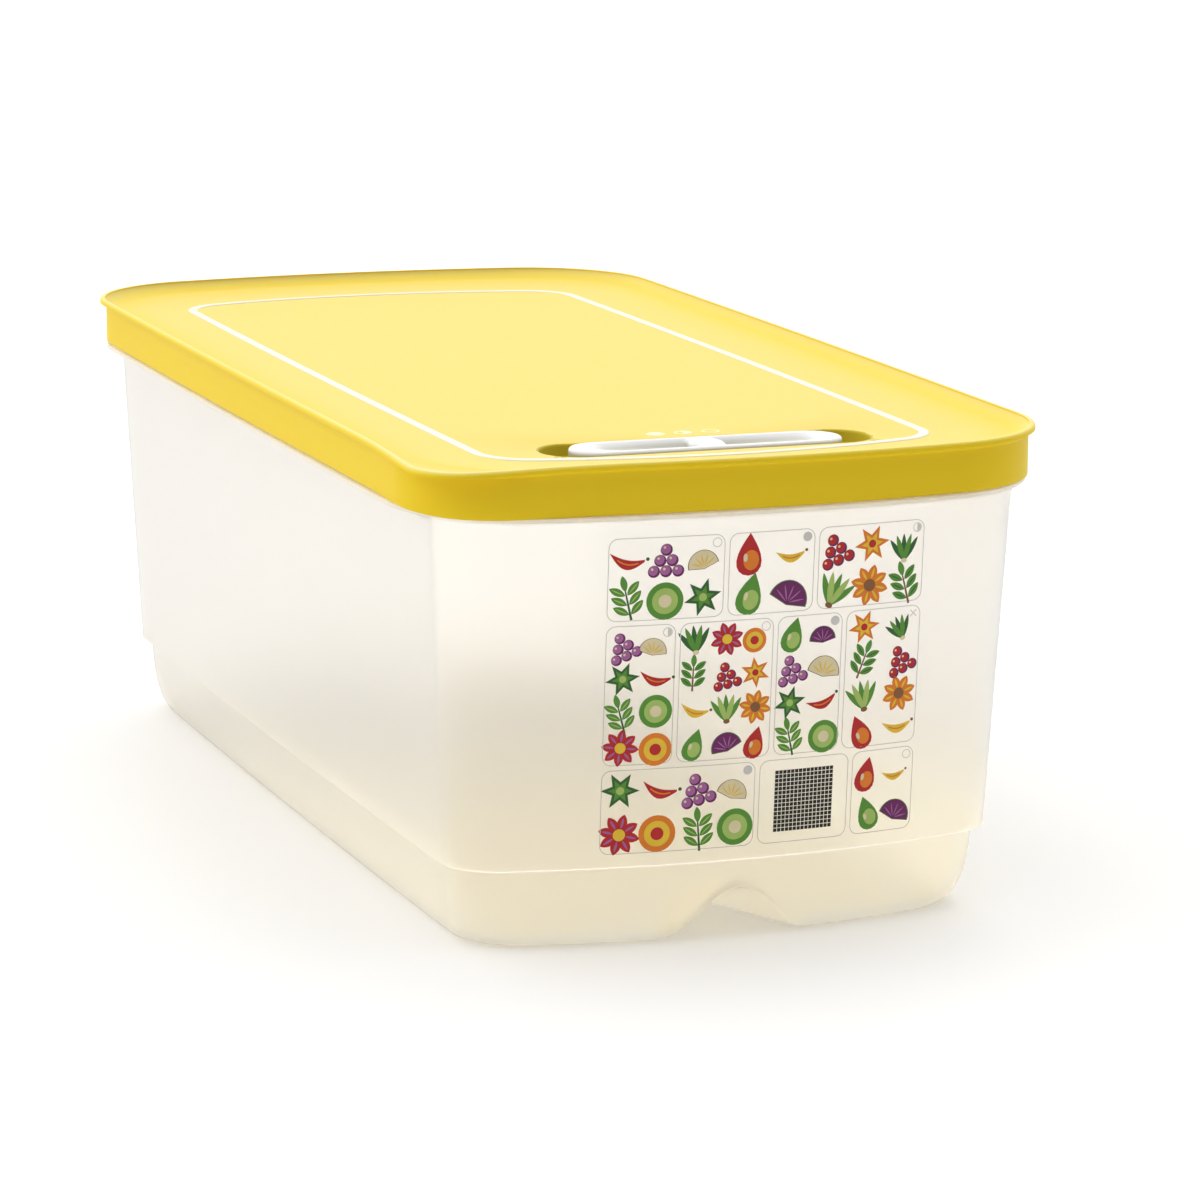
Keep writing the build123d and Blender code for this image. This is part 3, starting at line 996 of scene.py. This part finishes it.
# The lid: soft polyethylene, moulded in one with its skirt, flared lip, pull tab, cove,
# panel, vent pocket and the plug ring that presses into the rim of the tub.
lip_radius = 40.5
tab_radius = 17.0
skirt_inset = 2.2
skirt_radius = 36.5
skirt_bottom = overall_height - 14.1
skirt_wall = 1.5
panel_top = overall_height - 4.0
panel_under = panel_top - 1.5
cove_inset = 9.0
bead_inset = 26.5
bead_radius = 17.0
bead_width = 2.8
under_bead = 0.6
plug_inset = 6.1
plug_radius = 32.6
plug_wall = 1.5
plug_depth = 6.0
tab_droop = 1.9
tab_reach = 26.0
tab_centre = (-lid_width / 2 + 9, -lid_length / 2 + 18)
droop_inward = 8.0
highlight_reach = 90.0
highlight_turns = 9
cove_rise = 0.9
cove_turns = 12
vent_y = -lid_length / 2 + 46.5
pocket_length = 94.4
pocket_width = 21.5
pocket_depth = 3.6
lid_wall = 1.5
port_length = 14.0
port_width = 3.6
port_offset = 13.0
port_side = 5.2
leg_slot_length = 21.6
leg_slot_width = 3.0
leg_offset = 25.0


def stadium(length, width, x=0.0, y=0.0, steps=20):
    """Outline with full round ends, lengthwise along X, anticlockwise."""
    radius = width / 2
    reach = length / 2 - radius
    angles = np.linspace(-pi / 2, pi / 2, steps + 1)
    right = np.stack([reach + radius * np.cos(angles), radius * np.sin(angles)], 1)
    left = -right
    run = np.linspace(reach, -reach, steps + 2)[1:-1]
    over = np.stack([run, np.full(steps, radius)], 1)
    under = np.stack([-run, np.full(steps, -radius)], 1)
    return np.concatenate([right, over, left, under]) + (x, y)


def oblong(length, width, x, y):
    """Rectangular outline, anticlockwise."""
    a, b = length / 2, width / 2
    return np.array([(a, -b), (a, b), (-a, b), (-a, -b)]) + (x, y)


def lid_openings():
    """Air ports and leg slots in the floor of the pocket."""
    shapes = []
    for side in (-1, 1):
        shapes.append(oblong(leg_slot_length, leg_slot_width, side * leg_offset, vent_y))
        for row in (-1, 1):
            x, y = side * port_offset, vent_y + row * port_side
            shapes.append(stadium(port_length, port_width, x, y, 8))
    return shapes


def droop(flat, inset):
    """How far the lip hangs at the pull tab, most at its edge."""
    away = np.hypot(*(flat - tab_centre).T)
    share = np.clip(1 - inset / droop_inward, 0, 1)
    return tab_droop * share * np.exp(-(away / tab_reach) ** 2)


def mould_lid():
    """Underside from the plug ring out to the skirt, up to the lip and in to the pocket.

    Gives the moulding and the number of the first face that has the textured top.
    """
    lid = Moulding()

    def level(inset, radius, z, tab=None, crest=0.0):
        flat = outline(inset, inset, radius, tab)
        away = np.hypot(flat[:, 0] + lid_width / 2, flat[:, 1] + lid_length / 2)
        near_tab = np.exp(-(away / highlight_reach) ** 2)
        # The tone is a painted highlight along the crest of the lip, strongest near the pull tab.
        return lid.loop(flat, z - droop(flat, inset), crest * (0.65 + 0.35 * near_tab))

    plug_inner = plug_inset + plug_wall
    skirt_inner = skirt_inset + skirt_wall
    loops = [
        level(plug_inner, plug_radius - plug_wall, panel_under),
        level(plug_inner, plug_radius - plug_wall, panel_under - plug_depth + 0.4),
        level(plug_inner - 0.4, plug_radius - plug_wall + 0.4, panel_under - plug_depth),
        level(plug_inset + 0.5, plug_radius - 0.5, panel_under - plug_depth),
        level(plug_inset, plug_radius, panel_under - plug_depth + 0.5),
        level(plug_inset, plug_radius, panel_under),
        level(skirt_inner, skirt_radius - skirt_wall, panel_under),
        level(skirt_inner, skirt_radius - skirt_wall, skirt_bottom + 0.4),
        level(skirt_inner - 0.4, skirt_radius - skirt_wall + 0.4, skirt_bottom),
        level(skirt_inset + 0.5, skirt_radius - 0.5, skirt_bottom),
        level(skirt_inset + 0.1, skirt_radius - 0.1, skirt_bottom + 0.2),
        level(skirt_inset, skirt_radius, skirt_bottom + 0.6),
    ]
    lip_bottom = overall_height - 2.4
    skirt_top = lip_bottom - 0.4
    for step in range(1, 6):
        z = skirt_bottom + 0.6 + (skirt_top - skirt_bottom - 0.6) * step / 5
        loops.append(level(skirt_inset, skirt_radius, z))
    flare = [(0.05, 0.25), (0.2, 0.65), (0.45, 0.95), (0.7, 1.12), (0.9, 1.2)]
    for share, rise in flare:
        inset = skirt_inset * (1 - share)
        radius = skirt_radius + (lip_radius - skirt_radius) * share
        tab = skirt_radius + (tab_radius - skirt_radius) * share
        loops.append(level(inset, radius, skirt_top + rise, tab))
    edge = [(0.0, 0.95), (0.0, 1.35), (0.0, 1.7), (0.12, 2.05), (0.4, 2.33), (0.9, 2.4), (1.4, 2.36)]
    textured_from = (len(loops) + 2) * len(loops[0])
    for inset, rise in edge:
        crest = min(1, inset / 0.6)
        z = lip_bottom + rise
        loops.append(level(inset, lip_radius - inset / 2, z, tab_radius - inset / 2, crest))
    crest_inset, crest_rise = edge[-1]
    cove_height = crest_rise + lip_bottom - panel_top
    for turn in range(1, cove_turns + 1):
        angle = pi / 2 * turn / cove_turns
        inset = crest_inset + (cove_inset - crest_inset) * (1 - cos(angle))
        z = panel_top + cove_height - (cove_height - cove_rise) * sin(angle)
        tab = tab_radius - crest_inset / 2 + (lip_radius - tab_radius) * turn / cove_turns
        crest = max(0, 1 - turn / highlight_turns)
        loops.append(level(inset, lip_radius - inset / 2, z, min(tab, lip_radius - inset / 2), crest))
    for share in (0.15, 0.4, 0.7, 1.0):
        inset = cove_inset + (bead_inset + under_bead - cove_inset) * share
        outer_radius = lip_radius - cove_inset / 2
        radius = outer_radius + (bead_radius - under_bead - outer_radius) * share
        loops.append(level(inset, radius, panel_top + cove_rise * (1 - share) ** 2))
    lid.bands(loops)

    pocket = []
    for grow, drop_by in ((0.7, 0.0), (0.35, 0.1), (0.1, 0.35), (0.0, 0.75)):
        shape = stadium(pocket_length + 2 * grow, pocket_width + 2 * grow, 0, vent_y)
        pocket.append(lid.loop(shape, panel_top - drop_by))
    for shrink, rise in ((0.0, 0.7), (0.2, 0.2), (0.7, 0.0)):
        shape = stadium(pocket_length - 2 * shrink, pocket_width - 2 * shrink, 0, vent_y)
        pocket.append(lid.loop(shape, panel_top - pocket_depth + rise))
    lid.bands(pocket)
    lid.fill(loops[-1], [pocket[0]], mark_points(), panel_height, up=True)

    openings = lid_openings()
    floor_z = panel_top - pocket_depth
    under_z = floor_z - lid_wall
    upper = [lid.loop(shape, floor_z) for shape in openings]
    lower = [lid.loop(shape, under_z) for shape in openings]
    for low, high in zip(lower, upper):
        lid.bridge(high, low)
    lid.fill(pocket[-1], upper, np.empty((0, 2)), panel_height, up=True)
    cup = []
    for shrink, z in ((0.4, under_z), (0.0, under_z + 0.4), (0.0, panel_under)):
        length = pocket_length + 2 * (lid_wall - shrink)
        width = pocket_width + 2 * (lid_wall - shrink)
        cup.append(lid.loop(stadium(length, width, 0, vent_y), z))
    lid.bands(cup)
    lid.fill(cup[0], lower, np.empty((0, 2)), panel_height, up=False)
    lid.fill(loops[0], [cup[-1]], np.empty((0, 2)), panel_height, up=False)
    return lid, textured_from


# Three small raised marks behind the slide: closed, half open and open
mark_radius = 2.6
mark_line = 0.5
mark_rise = 0.2
mark_edge = 0.25
mark_reach = 4.0
mark_y = vent_y + pocket_width / 2 + 6.5
mark_places = (-8.0, 0.0, 8.0)


def mark_points():
    """Dense points over the marks, which give them their edges."""
    past = mark_reach + 0.01
    across = np.arange(mark_places[0] - mark_reach, mark_places[-1] + past, mark_edge)
    along = np.arange(mark_y - mark_reach, mark_y + past, mark_edge)
    return np.array([(x, y) for x in across for y in along])


def panel_height(x, y):
    """Height of the panel with its raised marks."""
    rise = np.zeros(len(x))
    for place, kind in zip(mark_places, ("dot", "half", "ring")):
        away = np.hypot(x - place, y - mark_y)
        edge = np.clip((mark_radius - away) / mark_edge, 0, 1)
        if kind == "dot":
            shape = edge
        else:
            hollow = np.clip((mark_radius - mark_line - away) / mark_edge, 0, 1)
            if kind == "half":
                hollow = hollow * np.clip((place - x) / mark_edge, 0, 1)
            shape = edge * (1 - hollow)
        rise = np.maximum(rise, shape)
    return panel_top + mark_rise * rise


def add_crest_highlight(material, shader, colour):
    """Mixes a paler colour in where the mesh carries its tone: the painted highlight along the lip
    crest.
    """
    nodes, links = material.node_tree.nodes, material.node_tree.links
    tone = nodes.new("ShaderNodeAttribute")
    tone.attribute_name = "tone"
    blend = nodes.new("ShaderNodeMix")
    blend.data_type = "RGBA"
    blend.inputs["B"].default_value = (*colour, 1)
    under = shader.inputs["Base Color"].links[0].from_socket
    links.new(tone.outputs["Fac"], blend.inputs["Factor"])
    links.new(under, blend.inputs["A"])
    links.new(blend.outputs["Result"], shader.inputs["Base Color"])


yellow_skin = moulded_plastic(
    "soft_yellow_polyethylene", (0.77, 0.555, 0.02), (0.75, 0.535, 0.017), 0.45, 0.2, cloud=9
)
# The top is a lighter copy of the skirt's yellow, and its flat panel paler still: a painted sheen for
# the glossy reflection of the bright room across the top.
textured_sheen_top = moulded_plastic(
    "soft_yellow_fine_texture_sheen", (0.80, 0.60, 0.045), (0.79, 0.58, 0.04), 0.5, 0.3, cloud=9,
    rise=(panel_top + 0.1, panel_top + 1.8, (0.80, 0.615, 0.145)),
)
# The inside of the vent pocket is a darker olive: painted shade.
pocket_shade = moulded_plastic(
    "soft_yellow_pocket_shade", (0.55, 0.44, 0.03), (0.52, 0.41, 0.025), 0.4, 0.1, cloud=9
)
# The raised marks are a pale cream: a painted highlight for the light their raised tops catch.
mark_highlight = moulded_plastic(
    "soft_yellow_mark_highlight", (0.90, 0.86, 0.55), (0.88, 0.84, 0.52), 0.35, 0.05, cloud=9
)
# Painted highlight: pale cream along the crest of the lip.
add_crest_highlight(*textured_sheen_top, (0.83, 0.72, 0.30))
for _, shader in (yellow_skin, textured_sheen_top, pocket_shade, mark_highlight):
    shader.inputs["Subsurface Weight"].default_value = 0.2
    shader.inputs["Subsurface Radius"].default_value = (0.004, 0.003, 0.001)
    shader.inputs["Specular IOR Level"].default_value = 0.06

lid_moulding, textured_from = mould_lid()
lid = lid_moulding.finish("soft_lid", yellow_skin[0])
for material, _ in (textured_sheen_top, pocket_shade, mark_highlight):
    lid.data.materials.append(material)

# 1 is the textured top with its painted sheen, 2 the inside of the pocket in painted shade, 3 the
# raised marks with a painted highlight
for face in lid.data.polygons:
    x, y, z = face.center / mm
    in_pocket = abs(x) < pocket_length / 2 + 0.2 and abs(y - vent_y) < pocket_width / 2 + 0.2
    near_marks = abs(x) < mark_places[-1] + mark_reach and abs(y - mark_y) < mark_reach
    if in_pocket and z > panel_top - pocket_depth - 0.1:
        face.material_index = 2
    elif near_marks and z > panel_top + 0.08:
        face.material_index = 3
    elif face.index >= textured_from and face.normal.z > 0.2 and z > panel_top - 0.2:
        face.material_index = 1
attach(lid, "lid")
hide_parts("lid_seal")


# The raised bead that frames the panel: a line of soft polyethylene, moulded on the lid, which keeps
# the foot of a container stacked on top from sliding off. Its pale cream colour is a painted highlight
# of the glossy ridge.
bead_rise = 0.36


def mould_bead():
    """Half round bead, sunk a little into the panel."""
    bead = Moulding()
    loops = []
    turns = 8
    for turn in range(turns + 1):
        angle = pi * turn / turns
        inset = bead_inset + bead_width / 2 * (1 - cos(angle))
        flat = outline(inset, inset, bead_radius - inset + bead_inset)
        loops.append(bead.loop(flat, panel_top + bead_rise * sin(angle) ** 0.8))
    under = []
    for inset in (bead_inset + bead_width, bead_inset):
        flat = outline(inset, inset, bead_radius - inset + bead_inset)
        under.append(bead.loop(flat, panel_top - 0.1))
    bead.bands(loops + under + loops[:1])
    return bead


bead_highlight, _ = moulded_plastic(
    "bead_painted_highlight", (0.78, 0.735, 0.60), (0.76, 0.715, 0.58), 0.35, 0.05
)
bead = mould_bead().finish("bead_line", bead_highlight)
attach(bead, "lid")


# The vent slide: glossy white polypropylene, an oval plate with two finger scoops and a
# grip between them. Its legs snap through the lid into the keeper plate.
slide_low, slide_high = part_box("vent_slider")
slide_top = slide_high.z / mm
slide_bottom = panel_top - pocket_depth + 0.3
slide_length = (slide_high.x - slide_low.x) / mm
slide_width = (slide_high.y - slide_low.y) / mm
scoop_depth = 2.3
scoop_length = 30.0
scoop_width = 13.4
scoop_slope = 4.5
grip_half = 2.9
slide_gap = 0.45
leg_half = (2.5, 1.2)
barb_half = 3.0
barb_height = 1.2


def scoop_drop(x, y):
    """Depth of the finger scoops: steep at the grip, round and gently sloped elsewhere."""
    across = np.abs(y - vent_y)
    bulge = grip_half + 1.3 * (1 - (across / scoop_width * 2) ** 2)
    wall = np.clip((np.abs(x) - bulge) / 0.8, 0, 1)
    radius = scoop_width / 2
    past_end = np.maximum(np.abs(x) - (grip_half + scoop_length - radius), 0)
    edge = radius - np.hypot(past_end, across)
    slope = np.clip(edge / scoop_slope, 0, 1)
    run = np.clip((np.abs(x) - grip_half) / scoop_length, 0, 1)
    dish = slope * (2 - slope) * (1 - 0.45 * run)
    return scoop_depth * wall * wall * (3 - 2 * wall) * dish


def slide_height(x, y):
    """Top of the slide."""
    return slide_top - scoop_drop(x, y)


def mould_slide():
    """Plate with rounded upper edge, scooped top and two legs with barbs."""
    slide = Moulding()
    loops = []
    profile = [(0.4, 0.0), (0.1, 0.1), (0.0, 0.4), (0.0, 2.6)]
    profile += [(0.08, 3.1), (0.3, 3.5), (0.7, 3.75), (1.2, 3.8)]
    scale = (slide_top - slide_bottom) / profile[-1][1]
    for inset, rise in profile:
        shape = stadium(slide_length - 2 * inset, slide_width - 2 * inset, 0, vent_y, 28)
        loops.append(slide.loop(shape, slide_bottom + rise * scale))
    slide.bands(loops)
    across = np.arange(-slide_length / 2, slide_length / 2, slide_gap)
    along = np.arange(vent_y - slide_width / 2, vent_y + slide_width / 2, slide_gap)
    grid = np.array([(x, y) for x in across for y in along])
    rim = stadium(slide_length - 3.0, slide_width - 3.0, 0, vent_y, 28)
    slide.fill(loops[-1], [], grid[inside(grid, rim)], slide_height, up=True)
    slide.fill(loops[0], [], np.empty((0, 2)), slide_height, up=False)
    foot = slide_low.z / mm
    for side in (-1, 1):
        x = side * leg_offset
        near, far = vent_y - leg_half[1], vent_y + leg_half[1]
        barb_top = foot + barb_height
        slide.box((x - leg_half[0], near, barb_top), (x + leg_half[0], far, slide_bottom + 0.2))
        slide.box((x - barb_half, near, foot), (x + barb_half, far, barb_top))
    return slide


# Lower on the slide its colour turns grey: painted shade in the finger scoops and down the sides.
white_gloss, white_gloss_shader = moulded_plastic(
    "white_vent_plastic_scoop_shade", (0.82, 0.81, 0.83), (0.80, 0.79, 0.81), 0.24, 0.06,
    rise=(slide_top - 1.7, slide_top - 0.25, (0.42, 0.42, 0.33)),
)
white_gloss_shader.inputs["Subsurface Weight"].default_value = 0.3
white_gloss_shader.inputs["Subsurface Radius"].default_value = (0.003, 0.003, 0.003)
slide = mould_slide().finish("vent_slide", white_gloss, 50)
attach(slide, "vent")
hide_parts("vent_slider")


# The keeper plate: flat white plate under the lid, pressed onto the barbed legs.
# It holds the slide down and its ports open and close the air way.
keeper_white, _ = moulded_plastic(
    "white_keeper_plastic", (0.80, 0.80, 0.79), (0.78, 0.78, 0.77), 0.35, 0.05
)
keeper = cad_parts["vent_keeper"]
keeper.data.materials.clear()
keeper.data.materials.append(keeper_white)


# The studio: a wide white floor, a white room that is dimmer on the camera's side,
# one large soft light from the left and behind, and the camera of the photograph.
def pale_floor():
    material = bpy.data.materials.new("studio_floor")
    material.use_nodes = True
    shader = material.node_tree.nodes["Principled BSDF"]
    shader.inputs["Base Color"].default_value = (0.74, 0.74, 0.74, 1)
    shader.inputs["Roughness"].default_value = 0.7
    shader.inputs["Specular IOR Level"].default_value = 0.2
    shader.inputs["Emission Color"].default_value = (1, 1, 1, 1)
    shader.inputs["Emission Strength"].default_value = 0.21
    mesh = bpy.data.meshes.new("studio_floor")
    reach = 14.0
    corners = [(-reach, -reach, 0), (reach, -reach, 0), (reach, reach, 0), (-reach, reach, 0)]
    mesh.from_pydata(corners, [], [(0, 1, 2, 3)])
    mesh.materials.append(material)
    floor = bpy.data.objects.new("studio_floor", mesh)
    bpy.context.scene.collection.objects.link(floor)


def room_light():
    """White above and behind, dim low on the -Y side, so the chart end is in soft shade."""
    world = bpy.data.worlds.new("room")
    bpy.context.scene.world = world
    world.use_nodes = True
    nodes, links = world.node_tree.nodes, world.node_tree.links
    back = nodes["Background"]
    place = nodes.new("ShaderNodeTexCoord")
    split = nodes.new("ShaderNodeSeparateXYZ")
    lean = nodes.new("ShaderNodeMath")
    lean.operation = "MULTIPLY_ADD"
    lean.inputs[1].default_value = 1.1
    level = nodes.new("ShaderNodeMapRange")
    back.inputs["Color"].default_value = (1, 1, 1, 1)
    level.inputs["From Min"].default_value = -0.4
    level.inputs["From Max"].default_value = 0.9
    level.inputs["To Min"].default_value = 0.1
    level.inputs["To Max"].default_value = 1.6
    links.new(place.outputs["Generated"], split.inputs["Vector"])
    links.new(split.outputs["Z"], lean.inputs[0])
    links.new(split.outputs["Y"], lean.inputs[2])
    links.new(lean.outputs["Value"], level.inputs["Value"])
    links.new(level.outputs["Result"], back.inputs["Strength"])


def soft_light(name, place, target, size, power, colour):
    lamp = bpy.data.lights.new(name, "AREA")
    lamp.shape = "DISK"
    lamp.size = size
    lamp.energy = power
    lamp.color = colour
    holder = bpy.data.objects.new(name, lamp)
    holder.location = place
    aim = Vector(target) - Vector(place)
    holder.rotation_euler = aim.to_track_quat("-Z", "Y").to_euler()
    bpy.context.scene.collection.objects.link(holder)


def photo_camera():
    """The camera found by matching the outlines of the object in the photograph."""
    yaw, pitch, roll = radians(-20.3), radians(11.5), radians(0.36)
    distance = 1.4271
    focal_pixels = 4777.4
    back = Vector((sin(yaw) * cos(pitch), -cos(yaw) * cos(pitch), sin(pitch)))
    right = Vector((0, 0, 1)).cross(back).normalized()
    up = back.cross(right)
    turned_right = right * cos(roll) + up * sin(roll)
    turned_up = -right * sin(roll) + up * cos(roll)
    target = Vector((0, 0, 0.0783)) + turned_right * 0.0212 + turned_up * -0.01766
    lens = bpy.data.cameras.new("photo_camera")
    lens.sensor_width = 36
    lens.lens = focal_pixels / 1200 * lens.sensor_width
    lens.clip_end = 60
    camera = bpy.data.objects.new("photo_camera", lens)
    turn = Matrix((turned_right, turned_up, back)).transposed().to_4x4()
    camera.matrix_world = Matrix.Translation(target + back * distance) @ turn
    bpy.context.scene.collection.objects.link(camera)
    bpy.context.scene.camera = camera


pale_floor()
room_light()
soft_light("window", (-1.9, 0.2, 1.3), (0, 0, 0.08), 1.2, 6, (1.0, 0.99, 0.97))
photo_camera()
bpy.context.scene.view_settings.view_transform = "Standard"
bpy.context.scene.cycles.max_bounces = 24
bpy.context.scene.cycles.transmission_bounces = 24
